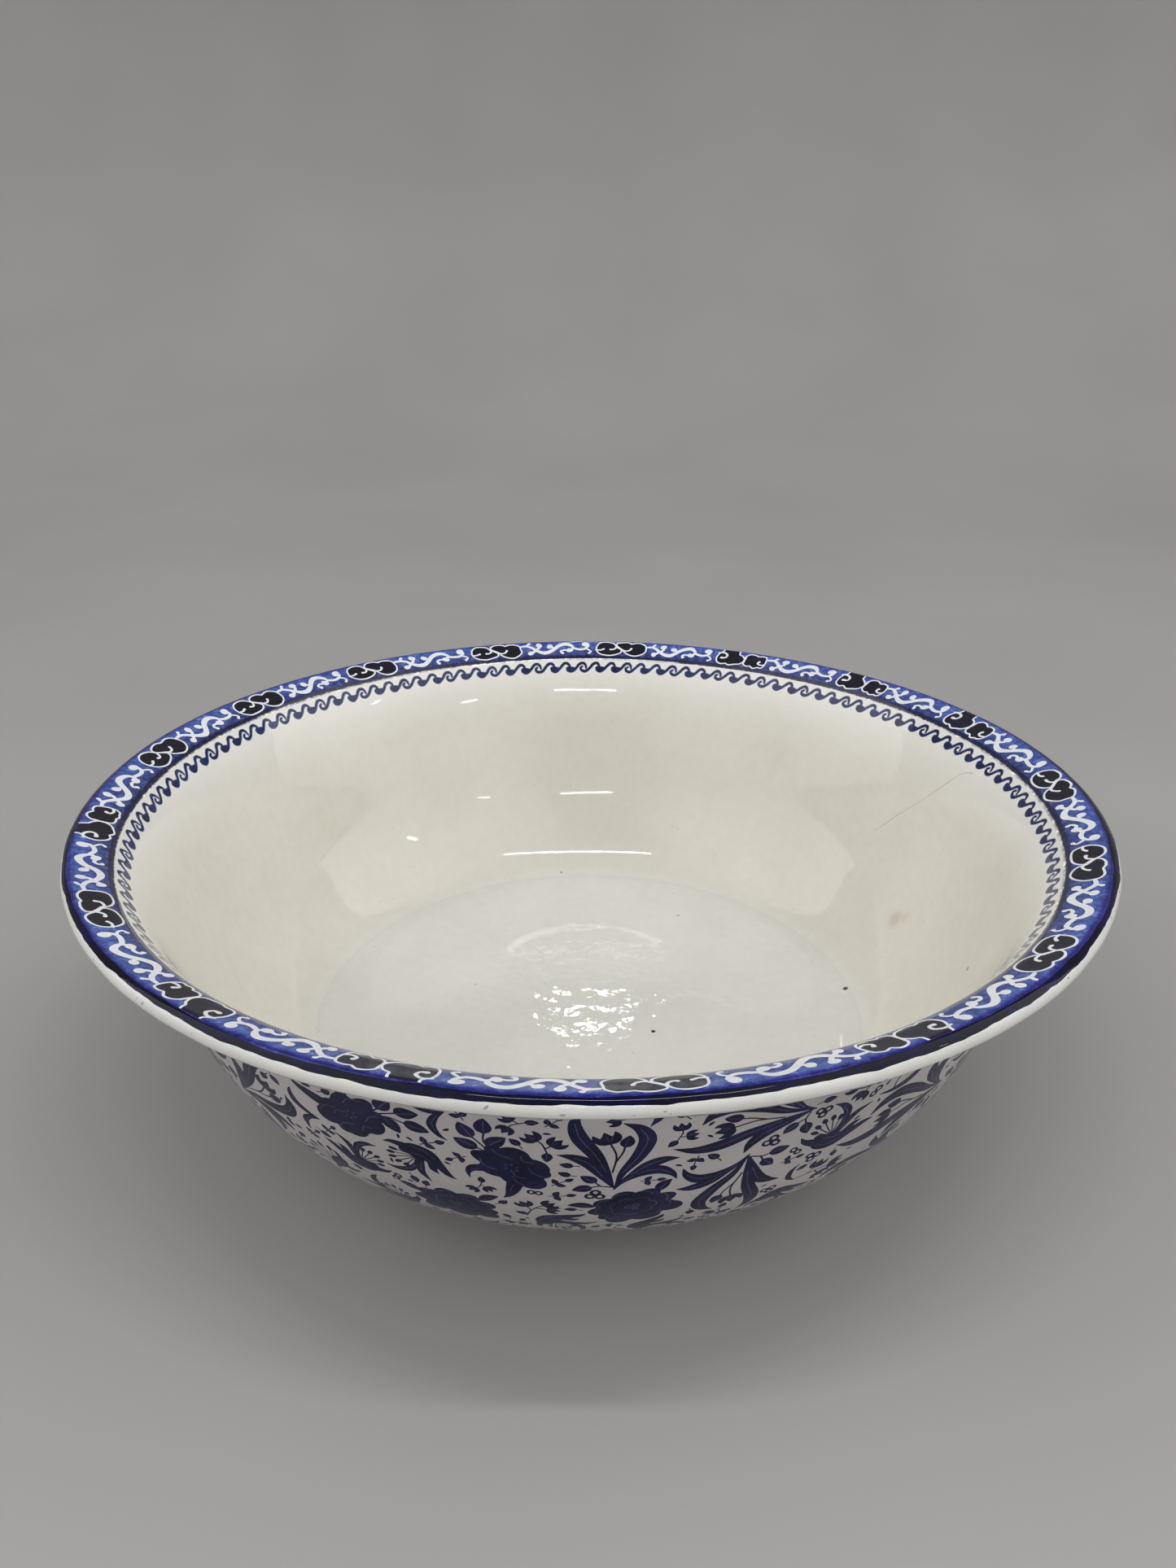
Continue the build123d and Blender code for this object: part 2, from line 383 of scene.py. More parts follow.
def thistle():
    """Seed head with a crown of rays."""
    out = inks(disc(0, -2.2, 6, 3.2), stroke([(-4.6, -2, 2), (-7.8, .8, 1.8), (-8.4, 3.6, .3)]),
               stroke([(4.4, -3, 2), (8.6, -3.4, 1.6), (11, -6, .3)]),
               stroke([(0, -4, 3), (-1.4, -7.6, 2.6), (-4.4, -9.4, .4)]))
    for k in range(6):
        turn = 26 + 25.6 * k
        x, y = polar(8.6, turn)
        out += inks(stroke([(x * .2, y * .2 - 1, .5), (x * .7, y * .7 - .4, .6), (x, y, 1.1)]),
                    disc(x, y, 1.7, .95, turn))
    return out + veins([(-4.2, -2.4), (0, -4.2), (4.2, -2.4)], [(-3.2, -1.2), (0, -2.4), (3.2, -1.2)])


def leaf_branch():
    out = inks(stalk((-9, -2), (-3, 0), (3.6, -.4), (7.6, -2.2)), stalk((-4, -.4), (-2.4, 2.8)),
               stalk((1, .1), (3, 2.6)), stalk((-2, 0), (-.6, -3)))
    return out + several(
        round_leaf, (7.2, -2, -20, .95), (-2.6, 2.4, 74, .9), (2.8, 2.4, 48, .9), (-.8, -2.6, -62, .9))


def bud_branch():
    out = inks(stalk((-9, -3), (-3, -.6), (3.6, 1.2)), stalk((-4.4, -1.2), (-3.2, 3.2)),
               stalk((-1.6, -.2), (1.4, -3.4)),
               stroke([(-9, -3, .5), (-12.4, -.2, 2.2), (-13.6, 4.8, 2), (-12.4, 8.6, .3)]))
    return out + several(bud, (3.6, 1.2, 14), (-3.3, 2.8, 78, .95), (1.2, -3.2, -40, .95))


def bud_pair():
    out = inks(stalk((-5, -1.6), (0, 0), (1.8, 1.8)), stalk((-2.4, -.8), (-.4, -3)))
    return out + several(bud, (1.6, 1.6, 46, .9), (-.6, -2.8, -44, .9)) + round_leaf(-4.8, -1.4, 176, .72)


def curved_pair():
    """Two long leaves bowed away from each other."""
    out = inks(stroke([(0, 0, .6), (4.6, 2.4, 2.6), (9.8, 2.8, 3.2), (14, 0, 2), (15.6, -3, .3)]),
               stroke([(0, 0, .6), (2.2, 4, 2.4), (1.8, 8.4, 2.8), (-1.2, 11.6, 1.4), (-3, 12.6, .3)]))
    return out + veins([(3.6, 1.8), (8.6, 2.8), (12.6, 1)], [(1.6, 3.2), (1.9, 7.2), (.2, 10)])


def berries(count=3):
    """Small hollow rings that touch."""
    apart = 1.5 if count == 2 else 1.75
    turns = [FULL_TURN * k / count + .5 for k in range(count)]
    centres = [(apart * math.cos(a), apart * math.sin(a)) for a in turns]
    rings = inks(*(disc(x, y, 1.85) for x, y in centres))
    return rings + [("ground", disc(x, y, .8)) for x, y in centres]


def berry_pair():
    return berries(2)


def small_leaf():
    return round_leaf(-3, 0, 0, .86) + inks(stalk((-5.6, -.8), (-3, 0)))


def sprig():
    """Three buds and a leaf on a curving stalk."""
    out = inks(stalk((-8.6, -3.4), (-4, -.6), (1, .6), (4, .2)), stalk((-3.4, -.4), (-2, 3.4)),
               stalk((-.6, .4), (2.4, -3.2)))
    out += several(bud, (3.6, .2, -6, .92), (-2.1, 3, 76, .9), (2.2, -3, -52, .88))
    return out + round_leaf(-7.4, -2.6, 118, .7)


def horn():
    """A long curved leaf with a bud standing in its bend."""
    out = inks(stroke([(-9, -3.6, .4), (-5, .4, 2.3), (.4, 2.8, 3.4), (6, 2.2, 2.6), (10.4, -1.6, .3)]),
               stalk((-4.6, -.4), (-2, -3.4), (.6, -4.2)))
    return out + bud(.4, -4.2, -12, .9) + veins([(-4.6, .8), (.6, 2.9), (5.6, 2.2)])


def leaflets():
    out = inks(stalk((-4.4, -.8), (0, 0), (3, .8)))
    return out + several(round_leaf, (2.6, .6, 14, .6), (-2.2, -.2, 64, .62), (-2, -.6, -62, .62))


def dash():
    return inks(leaf(-1.8, 0, 1.8, .3, 1.5, .3))


# ---- scattering the motifs over a sheet
CELL = .5             # mm, the grid that keeps track of where there is room
GAP, CLOSE = .5, 2.5  # mm, least space between motifs; what counts as close by


def offsets(radius):
    k = int(radius / CELL + 1)
    d = np.stack(np.meshgrid(np.arange(-k, k + 1), np.arange(-k, k + 1)), -1).reshape(-1, 2)
    return d[np.hypot(*d.T) <= radius / CELL]


def footprint(shapes):
    """Points all over the inked parts of a motif."""
    inked = [p for kind, p in shapes if kind == "ink"]
    every = np.vstack(inked)
    lo, hi = every.min(0), every.max(0)
    across, up = np.meshgrid(np.arange(lo[0], hi[0], 1), np.arange(lo[1], hi[1], 1))
    grid = np.stack([across, up], -1).reshape(-1, 2)
    covered = np.any([wound(grid, p) for p in inked], axis=0)
    return np.vstack([every[::2], grid[covered]])


def scattered(width, height, seed):
    """Fills a sheet that joins its own left and right edges with motifs, large ones first."""
    rng = random.Random(seed)
    nx, ny = int(width / CELL), int(height / CELL)
    full, close = np.zeros((nx, ny), bool), np.zeros((nx, ny), np.int16)
    gap_cells, close_cells = offsets(GAP), offsets(CLOSE)

    def cells(points):
        at = np.floor(points / CELL).astype(int)
        at = at[(at[:, 1] >= 0) & (at[:, 1] < ny)]
        return at[:, 0] % nx, at[:, 1]

    out = []
    for makers, tries, fails, size in ROUNDS:
        drawn = [(m, footprint(m)) for m in (maker() for maker in makers)]
        missed = k = 0
        while missed < fails:
            shapes, feet = drawn[k % len(drawn)]
            k += 1
            best = None
            for _ in range(tries):
                pose = (rng.uniform(0, width), rng.uniform(2, height - 2), rng.uniform(0, 360),
                        size * rng.uniform(.92, 1.06), rng.random() < .5)
                ix, iy = cells(moved(feet, *pose))
                if full[ix, iy].any():
                    continue
                snug = close[ix, iy].mean() if len(ix) else 0
                if best is None or snug > best[0]:
                    best = (snug, pose, ix, iy)
            if best is None:
                missed += 1
                continue
            _, pose, ix, iy = best
            for field, reach in ((full, gap_cells), (close, close_cells)):
                for dx, dy in reach:
                    field[(ix + dx) % nx, np.clip(iy + dy, 0, ny - 1)] = 1
            out += placed(shapes, *pose)
    return out


# (motifs, places tried for each, misses before giving up, size)
ROUNDS = [((fan, poppy, lily, peony, fan, lily), 90, 5, 1),
          ((fan, rosette, lily, thistle), 150, 8, .94),
          ((rosette, sprig, bud_branch, thistle), 180, 12, .98),
          ((sprig, horn, leaf_branch, bud_branch), 220, 16, .92),
          ((sprig, bud_pair, curved_pair, berries), 220, 14, .86),
          ((bud_pair, leaflets, horn, berry_pair), 220, 20, .76),
          ((leaflets, bud_pair), 220, 16, .66),
          ((small_leaf, dash), 120, 6, .66)]


# ---- motifs of the rim border
BORDER_MID = 10.2  # height of the pattern's middle line above the inner edge
CLOUD_SIZE = 1.2
CLOUD_HALF = 14.3  # half the width a pair of clouds takes up
OUTLINE = .85      # of the clouds, in white
LOBES = [          # two kinds of cloud, of two lobes each
    [[(-11, .3), (-10.4, 2.7), (-8.4, 4), (-6.2, 4), (-4.6, 3.4), (-2.8, 4.3), (-.2, 4.4),
      (1.7, 3.5), (1.9, 2.2), (.4, .7), (-1.3, -.8), (-2, -2.6), (-3.9, -4.2), (-6.8, -4.7), (-9.4, -3.7),
      (-10.9, -1.7)],
     [(.1, -1.3), (1.7, .3), (3, 1.8), (4, 3.4), (6.1, 4.3), (8.8, 4.1), (10.6, 2.8), (11.4, .4),
      (10.9, -2.2), (9, -4), (5.9, -4.6), (2.6, -4), (.6, -2.8)]],
    [[(-11.2, .6), (-10.4, 3.1), (-8.4, 3.7), (-6.8, 3.1), (-5, 4.2), (-2.9, 3.9), (-1.8, 2),
      (-1.9, -.6), (-2.2, -2.9), (-3.8, -4), (-5.4, -3.4), (-7, -4.5), (-8.8, -3.8),
      (-10.3, -3.9), (-11.3, -2)],
     [(-1, -.4), (.3, 2), (2, 3), (2.6, 5.2), (3.6, 7.6), (8.6, 7.6), (9.2, 4.4), (10.6, 2.3),
      (11.4, -.6), (10.6, -3.1), (8.7, -4.3), (6.7, -3.7), (4.8, -4.7), (2.4, -4), (.1, -3.1)]]]
HOOKS = [  # white curls that reach into the clouds of each kind
    [[(-.7, -1.2, .9), (-2.6, -1.6, .9), (-4.1, -.9, .9), (-4.6, .3, 1.1)],
     [(2.3, 1.4, .9), (2.9, .1, .9), (3.9, -.7, .9), (5.1, -.6, 1.2)],
     [(11.8, -1, .9), (9.8, -1.2, .9), (8.3, -.4, 1.1)]],
    [[(-11.5, -1.6, .9), (-9.8, -2.3, .9), (-8.2, -1.5, .9), (-8.5, -.1, 1.3)],
     [(11.4, 2.9, .9), (9, 3.3, 1), (7.3, 1.9, 1), (7.6, -.1, .9), (9.2, -.3, 1.5)],
     [(-1.5, 2.4, .8), (-1.5, .2, .8), (-1.2, -2.4, .8)]]]
VINE = [  # strokes, each with the radius of the ball at its end
    ([(12.8, -.4, 1), (13.7, 2, 1.6), (16.2, 3.8, 2.1), (19.4, 3.5, 2.2), (22.4, 1.3, 2),
      (24.9, -1.5, 2), (28, -3.6, 2.3), (31.4, -3.4, 2.1), (34.4, -1.2, 1.7), (36.6, 1.2, 1.5),
      (39.4, 2.8, 1.4), (42.6, 2.6, 1.1)], 0),
    ([(12.8, .2, 1.4), (9.6, -.9, 1.5), (6.7, -.7, 1.4), (4.9, .8, 1.3), (4.5, 2.4, 1.2),
      (5.7, 3.3, 1)], 1.9),
    ([(5.6, -.4, .9), (3.8, -1.5, .9), (2.8, -3.2, .9), (4.1, -4.3, 1)], .75),
    ([(13.2, .4, 1.2), (13.8, -1, 1.3), (15.1, -1.7, 1.2)], 1.75),
    ([(15.6, -2.2, 1), (18.4, -1.5, 1.1), (20.3, -2.7, 1.1), (19.6, -4.2, 1.1)], .9),
    ([(23.6, .2, 1.1), (24.9, .9, 1.2), (26.5, 1.9, 1.2)], 1.6),
    ([(35.4, .2, 1.1), (34, -.3, 1.2), (32.6, 1.2, 1.3), (32.6, 3.1, 1.2)], 1.65),
    ([(35.2, -.6, 1.2), (35.8, -2.4, 1.3), (37.7, -3.4, 1.2)], 1.55),
    ([(39.6, 2.6, .9), (38.8, 3.8, 1.1), (38, 4.9, 1.1)], .8)]
VINE_LENGTH = 42.4  # of the strokes above
VINE_WEIGHT, BALL_WEIGHT = 1.22, 1.2
REPEATS = 17


def wobbled(points, rng, by=.22):
    return [(q[0] + rng.uniform(-by, by), q[1] + rng.uniform(-by, by), *q[2:]) for q in points]


def border_print(width):
    """Pairs of dark clouds in white outlines, with a white scroll running between them."""
    rng = random.Random(SEED + 3)
    out = []
    starts = [k * width / REPEATS + rng.uniform(-1.6, 1.6) for k in range(REPEATS)]
    for k, x0 in enumerate(starts):
        which = rng.randrange(2)
        sway = rng.uniform(-.25, .25)
        here = (x0, BORDER_MID + sway)
        lobes = [smooth(wobbled(p, rng), closed=True) * CLOUD_SIZE for p in LOBES[which]]
        out += [("white", inflated(p, OUTLINE) + here) for p in lobes]
        out += [("dark", p + here) for p in lobes]
        out += [("white", stroke(wobbled(h, rng, .15)) * CLOUD_SIZE + here) for h in HOOKS[which]]
        x1 = starts[(k + 1) % REPEATS] + (width if k == REPEATS - 1 else 0)
        stretch = (x1 - x0 - 2 * CLOUD_HALF) / VINE_LENGTH
        for points, ball in VINE:
            points = [(x, y, w * VINE_WEIGHT) for x, y, w in wobbled(points, rng)]
            parts = [stroke(points)]
            if ball:
                x, y = points[-1][:2]
                parts.append(disc(x, y, ball * BALL_WEIGHT, ball, rng.uniform(0, 180)))
            out += [("white", p * (stretch, 1) + (x0 + CLOUD_HALF, BORDER_MID + sway)) for p in parts]
    return out


# ---- motifs of the scroll edging
UNITS = 45              # round the bowl, of three teeth each
STARTS = (0, .3, .655)  # where the teeth of a unit begin, as shares of it
HALO = .3               # width of the pale blue round the teeth, where ink has run
TOOTH = [(.3, 5.2, .8), (.8, 7.2, 1.2), (2.3, 8.3, 1.5), (4, 7.5, 1.4), (5.5, 5.7, 1.3),
         (7.1, 4.1, 1.35), (8.8, 3.4, 1.5), (10.4, 4, 1.35), (10.8, 5.3, 1.15), (9.8, 6.1, .9)]
COMMA = [(6.6, 5.4, .8), (7.9, 5, 2.2), (9.3, 5, 2.6), (10.2, 5.6, 1.2)]


def edging_print(width):
    """Running scroll of hooked teeth; in each three, one is open and two are filled."""
    rng = random.Random(SEED + 4)
    pitch = width / UNITS
    halos, teeth = [], []
    for k in range(3 * UNITS):
        shift = ((k // 3 + STARTS[k % 3]) * pitch, rng.uniform(-.12, .12))
        parts = [stroke(wobbled(TOOTH, rng, .12))]
        if k % 3:
            parts.append(stroke(wobbled(COMMA, rng, .12)))
        halos += [("halo", inflated(p, HALO) + shift) for p in parts]
        teeth += inks(*(p + shift for p in parts))
    return halos + teeth


# ---- cutting the patterns in
WELD = 1000     # points closer than a thousandth of a mm are one
CLOSEST = 1e-5  # mm, what the triangulation takes for one point


def wound(points, poly):
    """Which points lie inside an outline, by winding number."""
    x, y = points[:, :1], points[:, 1:]
    x1, y1 = poly.T
    x2, y2 = np.roll(poly, -1, 0).T
    left = (x2 - x1) * (y - y1) - (x - x1) * (y2 - y1)
    up = (y1 <= y) & (y2 > y) & (left > 0)
    down = (y1 > y) & (y2 <= y) & (left < 0)
    return (up.sum(1) - down.sum(1)) != 0


def inlay(width, height, shapes, grid, copies=1):
    """Triangulates a sheet along every outline; the last shape painted owns a triangle.

    The sheet joins its own left and right edges, after as many copies as are asked for.
    """
    full = []
    for kind, p in shapes:
        for shift in (-width, 0, width):
            q = p + (shift, 0)
            if (q.max(0) > 0).all() and q[:, 0].min() < width and q[:, 1].min() < height:
                full.append((kind, q))
    nx, ny = max(2, round(width / grid[0])), max(2, round(height / grid[1]))
    gx, gy = np.linspace(0, width, nx + 1), np.linspace(0, height, ny + 1)
    sides = [(gx[:-1], gx[:-1] * 0), (gy[:-1] * 0 + width, gy[:-1]),
             (gx[:0:-1], gx[:0:-1] * 0 + height), (gy[:0:-1] * 0, gy[:0:-1])]
    rim = np.vstack([np.stack(side, 1) for side in sides])
    inner = np.stack(np.meshgrid(gx[1:-1], gy[1:-1]), -1).reshape(-1, 2)
    verts, edges, at = [], [], 0
    for loop in [rim] + [q for _, q in full]:
        n = len(loop)
        verts.append(loop)
        edges += [(at + i, at + (i + 1) % n) for i in range(n)]
        at += n
    verts = np.vstack(verts + [inner])
    got = delaunay_2d_cdt([Vector(v) for v in verts.tolist()], edges, [], 0, CLOSEST, False)
    points = np.array([(v.x, v.y) for v in got[0]])
    tris = np.array(got[2])
    mid = points[tris].mean(1)
    keep = (mid > 0).all(1) & (mid[:, 0] < width) & (mid[:, 1] < height)
    tris, mid = tris[keep], mid[keep]
    order = np.argsort(mid[:, 0])
    tris, mid = tris[order], mid[order]
    owner = np.full(len(tris), "ground", dtype=object)
    for kind, q in full:
        lo, hi = np.searchsorted(mid[:, 0], (q[:, 0].min(), q[:, 0].max()))
        near = np.arange(lo, hi)
        near = near[(mid[near, 1] > q[:, 1].min()) & (mid[near, 1] < q[:, 1].max())]
        if len(near):
            owner[near[wound(mid[near], q)]] = kind
    count = len(points)
    points = np.vstack([points + (k * width, 0) for k in range(copies)])
    tris = np.vstack([tris + k * count for k in range(copies)])
    marks = np.round(points * WELD).astype(np.int64)
    marks[:, 0] %= round(width * copies * WELD)
    _, first, same = np.unique(marks, axis=0, return_index=True, return_inverse=True)
    tris, owner = same.ravel()[tris], np.tile(owner, copies)
    sound = (tris != np.roll(tris, 1, axis=1)).all(1)
    return points[first], tris[sound], owner[sound]


class Band:
    """A stretch of the section unrolled without distortion, in mm at radius r0."""

    def __init__(self, first, last):
        pick = (path_s >= first) & (path_s <= last)
        self.s = np.r_[first, path_s[pick], last]
        r = np.interp(self.s, path_s, path[:, 0])
        self.r0 = (r.min() + r.max()) / 2
        steps = np.diff(self.s) * 2 / (r[1:] + r[:-1]) * self.r0
        self.y = np.r_[0, np.cumsum(steps)]
        self.width, self.height = FULL_TURN * self.r0, self.y[-1]

    def surface(self, points):
        return surface(points[:, 0] / self.r0, np.interp(points[:, 1], self.y, self.s))


def add_object(name, data):
    obj = bpy.data.objects.new(name, data)
    bpy.context.scene.collection.objects.link(obj)
    return obj


def sheet(name, places, normals, tris, look, slot, node):
    """One smooth piece from places, normals and triangles."""
    used, index = np.unique(tris, return_inverse=True)
    index = index.reshape(-1, 3)
    places, normals = places[used], normals[used]
    a, b, c = (places[index[:, k]] for k in range(3))
    face = np.cross(b - a, c - a)
    if (face * normals[index[:, 0]]).sum() < 0:
        index = index[:, ::-1]
    mesh = bpy.data.meshes.new(name)
    mesh.from_pydata(places.tolist(), [], index.tolist(), shade_flat=False)
    mesh.normals_split_custom_set_from_vertices(normals)
    mesh.materials.append(look)
    obj = add_object(name, mesh)
    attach(obj, "root")
    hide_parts(node)


# ---- materials
def material(name, rough, sheen=.5):
    m = bpy.data.materials.new(name)
    m.use_nodes = True
    tree = m.node_tree
    shader = tree.nodes["Principled BSDF"]
    shader.inputs["Roughness"].default_value = rough
    shader.inputs["Specular IOR Level"].default_value = sheen
    return m, tree, shader


def feed(tree, socket, value):
    """Links an output to a socket, or sets it to a number, a vector (list) or a colour (tuple)."""
    if hasattr(value, "is_output"):
        tree.links.new(value, socket)
    else:
        socket.default_value = (*value, 1) if isinstance(value, tuple) else value


def outputs(tree, kind, inputs, **settings):
    """Makes a shader node and returns its outputs."""
    n = tree.nodes.new("ShaderNode" + kind)
    for key, value in settings.items():
        setattr(n, key, value)
    for key, value in inputs.items():
        feed(tree, n.inputs[key], value)
    return n.outputs


def maths(tree, how, a, b=0.0):
    return outputs(tree, "Math", {0: a, 1: b}, operation=how)["Value"]


def mix(tree, how, factor, a, b):
    return outputs(tree, "Mix", {0: factor, 6: a, 7: b}, data_type="RGBA", blend_type=how)[2]


def remap(tree, value, source, target=(0.0, 1.0), how="LINEAR"):
    """A value carried from one range to another."""
    limits = dict(zip(("From Min", "From Max", "To Min", "To Max"), (*source, *target)))
    return outputs(tree, "MapRange", {"Value": value, **limits}, interpolation_type=how)["Result"]


def fade(tree, value, first, last):
    """1 where the value is at or past first, falling to 0 at last."""
    return remap(tree, value, (last, first), how="SMOOTHSTEP")


def ramp(tree, value, stops):
    n = tree.nodes.new("ShaderNodeValToRGB")
    elements = n.color_ramp.elements
    while len(elements) < len(stops):
        elements.new(.5)
    for e, (at, colour) in zip(elements, stops):
        e.position = at
        e.color = (*colour, 1)
    tree.links.new(value, n.inputs["Fac"])
    return n.outputs["Color"]


def shaded_place(tree):
    return outputs(tree, "TexCoord", {})["Object"]


def noise(tree, scale, detail, rough=.5):
    """Noise in object space; scale is in cycles per metre."""
    inputs = {"Vector": shaded_place(tree), "Scale": scale, "Detail": detail, "Roughness": rough}
    return outputs(tree, "TexNoise", inputs)["Fac"]


def speckle(tree, scale, size):
    """1 in small round spots scattered through the glaze, 0 elsewhere."""
    cells = outputs(tree, "TexVoronoi", {"Vector": shaded_place(tree), "Scale": scale})
    return remap(tree, cells["Distance"], (size, size * .6))


def from_axis(tree):
    """Distance from the axis of the bowl, in metres."""
    level = outputs(tree, "VectorMath", {0: shaded_place(tree), 1: [1, 1, 0]}, operation="MULTIPLY")
    return outputs(tree, "VectorMath", {0: level["Vector"]}, operation="LENGTH")["Value"]


def bump(tree, shader, height, distance, strength):
    """Unevenness on top of what the shader already has."""
    inputs = {"Height": height, "Distance": distance, "Strength": strength}
    for link in shader.inputs["Normal"].links:
        inputs["Normal"] = link.from_socket
    tree.links.new(outputs(tree, "Bump", inputs)["Normal"], shader.inputs["Normal"])


def glazed(tree, shader, tone):
    """The tone, under a slightly uneven surface."""
    tree.links.new(tone, shader.inputs["Base Color"])
    bump(tree, shader, noise(tree, 55, 1.5), .0004, .2)


BROWN, STAIN = (.12, .08, .05), (.36, .27, .17)
# specks and stain: place in mm, radius of the dark middle and of the faded edge, colour, strength
MARKS = [((28, -14, 14), .7, 1.3, (.03, .02, .015), 1.0),
         ((117, 12, 19), .8, 1.5, (.05, .035, .02), .95),
         ((152, -38, 62), .7, 1.3, BROWN, .7), ((-15, 121, 20), .5, 1.1, (.14, .09, .05), .7),
         ((-53, 22, 14), .4, .9, BROWN, .7), ((143, 34, 42), .5, 6.5, STAIN, .33),
         ((144, 29, 47), .3, 4.5, STAIN, .28), ((96, -62, 15), .4, .9, BROWN, .6),
         ((-88, -40, 15), .3, .8, BROWN, .6), ((46, 84, 15), .4, .9, (.16, .1, .06), .6)]
# how the tone changes from the floor, cooler where the glaze pooled, over its edge to the warmer wall
FLOOR_RING = [(0.0, (.99, 1.005, 1.02)), (.4, (.99, 1.005, 1.02)), (.46, (.965, .975, .985)),
              (.5, (1.015, 1.02, 1.035)), (.58, (1.015, 1.015, 1.02)), (.66, (1.0, .992, .975))]
# distances from the axis, in metres, that things fade between
RING_END, RING_START = .14, .1    # the ring above
PAINTED_RIM_LIGHT_END, PAINTED_RIM_LIGHT_START = .18, .166  # paler glaze towards the rim: painted light on the upper wall
POOL_START, POOL_END = .055, .09  # ripples of the glaze pooled on the floor
PAINTED_RIM_LIGHT_SHARE, PAINTED_RIM_LIGHT_TONE = .6, (.89, .885, .87)


def aged(tree, tone):
    """The specks and the stain in the inside glaze, the pale ring where the floor ends, and painted light
    that makes the glaze paler towards the rim.
    """
    for place, middle, edge, colour, strength in MARKS:
        ends = {0: shaded_place(tree), 1: [v * MM for v in place]}
        away = outputs(tree, "VectorMath", ends, operation="DISTANCE")["Value"]
        share = maths(tree, "MULTIPLY", fade(tree, away, middle * MM, edge * MM), strength)
        tone = mix(tree, "MIX", share, tone, colour)
    ring = fade(tree, from_axis(tree), RING_END, RING_START)
    tone = mix(tree, "MULTIPLY", 1.0, tone, ramp(tree, ring, FLOOR_RING))
    # painted light: the glaze turns paler towards the rim
    rim_light = maths(tree, "MULTIPLY", fade(tree, from_axis(tree), PAINTED_RIM_LIGHT_END, PAINTED_RIM_LIGHT_START), PAINTED_RIM_LIGHT_SHARE)
    return mix(tree, "MIX", rim_light, tone, PAINTED_RIM_LIGHT_TONE)


def glaze(name, tones, spot_amount=.35, sheen=.5, inside=False):
    """Mottled glaze with faint spots; inside the bowl it is aged and rippled."""
    m, tree, shader = material(name, .05, sheen)
    tone = ramp(tree, noise(tree, 14, 4), [(.3, tones[0]), (.7, tones[1])])
    fine = ramp(tree, noise(tree, 210, 2), [(.35, (.97, .97, .97)), (.65, (1, 1, 1))])
    tone = mix(tree, "MULTIPLY", 1.0, tone, fine)
    spotted = mix(tree, "MIX", spot_amount, tone, (.3, .24, .17))
    tone = mix(tree, "MIX", speckle(tree, 95, .045), tone, spotted)
    glazed(tree, shader, aged(tree, tone) if inside else tone)
    if inside:
        pool = fade(tree, from_axis(tree), POOL_START, POOL_END)
        bump(tree, shader, maths(tree, "MULTIPLY", noise(tree, 95, 2), pool), .0005, .8)
    return m


def ink(name, tones, rough=.07, sheen=.5):
    """Mottled ink from its darkest to its palest tone."""
    m, tree, shader = material(name, rough, sheen)
    tone = ramp(tree, noise(tree, 90, 4, .6), [(.3, tones[0]), (.52, tones[1]), (.72, tones[2])])
    wash = ramp(tree, noise(tree, 900, 3, .6), [(.3, (.72, .72, .75)), (.7, (1.12, 1.12, 1.15))])
    glazed(tree, shader, mix(tree, "MULTIPLY", 1.0, tone, wash))
    return m


WASH_FROM, WASH_TO = .1814, .1964  # radii the wash runs between, in metres
BLUR = .035                        # how far its tones stray, as a share of that run
WASH = [(0.0, (.7, .69, .66)), (.055, (.64, .64, .65)), (.085, (.016, .02, .07)),
        (.165, (.011, .013, .055)), (.21, (.04, .058, .215)), (.48, (.046, .078, .29)),
        (.76, (.062, .118, .41)), (.92, (.052, .092, .38)), (1.0, (.018, .018, .19))]
MOTTLE = [(.34, (.45, .43, .55)), (.47, (.92, .92, .97)), (.55, (1.25, 1.22, 1.12)),
          (.66, (3.0, 2.5, 1.6))]
POOLS = [(.35, (.8, .8, .86)), (.65, (1.15, 1.15, 1.08))]


def washed(name):
    """Blue that flows from a dark blurred line at the inner edge to bright near the lip."""
    m, tree, shader = material(name, .07)
    share = remap(tree, from_axis(tree), (WASH_FROM, WASH_TO))
    stray = remap(tree, noise(tree, 420, 4, .6), (0, 1), (-BLUR, BLUR))
    tone = ramp(tree, maths(tree, "ADD", share, stray), WASH)
    mottle = ramp(tree, noise(tree, 330, 5, .7), MOTTLE)
    pools = ramp(tree, noise(tree, 45, 3), POOLS)
    glazed(tree, shader, mix(tree, "MULTIPLY", 1.0, tone, mix(tree, "MULTIPLY", 1.0, mottle, pools)))
    return m


def unglazed(name, rough, scale, detail, dark, pale):
    """Dull matter that varies softly between two tones."""
    m, tree, shader = material(name, rough)
    tone = ramp(tree, noise(tree, scale, detail), [(.3, dark), (.7, pale)])
    tree.links.new(tone, shader.inputs["Base Color"])
    return m, tree, shader


PRINT_SHEEN, LINE_SHEEN = .07, .2  # the glaze outside is thinner and duller
cream = glaze("cream_glaze", ((.7, .685, .62), (.765, .75, .69)), inside=True)
shade_white = glaze("lip_glaze", ((.74, .735, .71), (.84, .835, .81)))
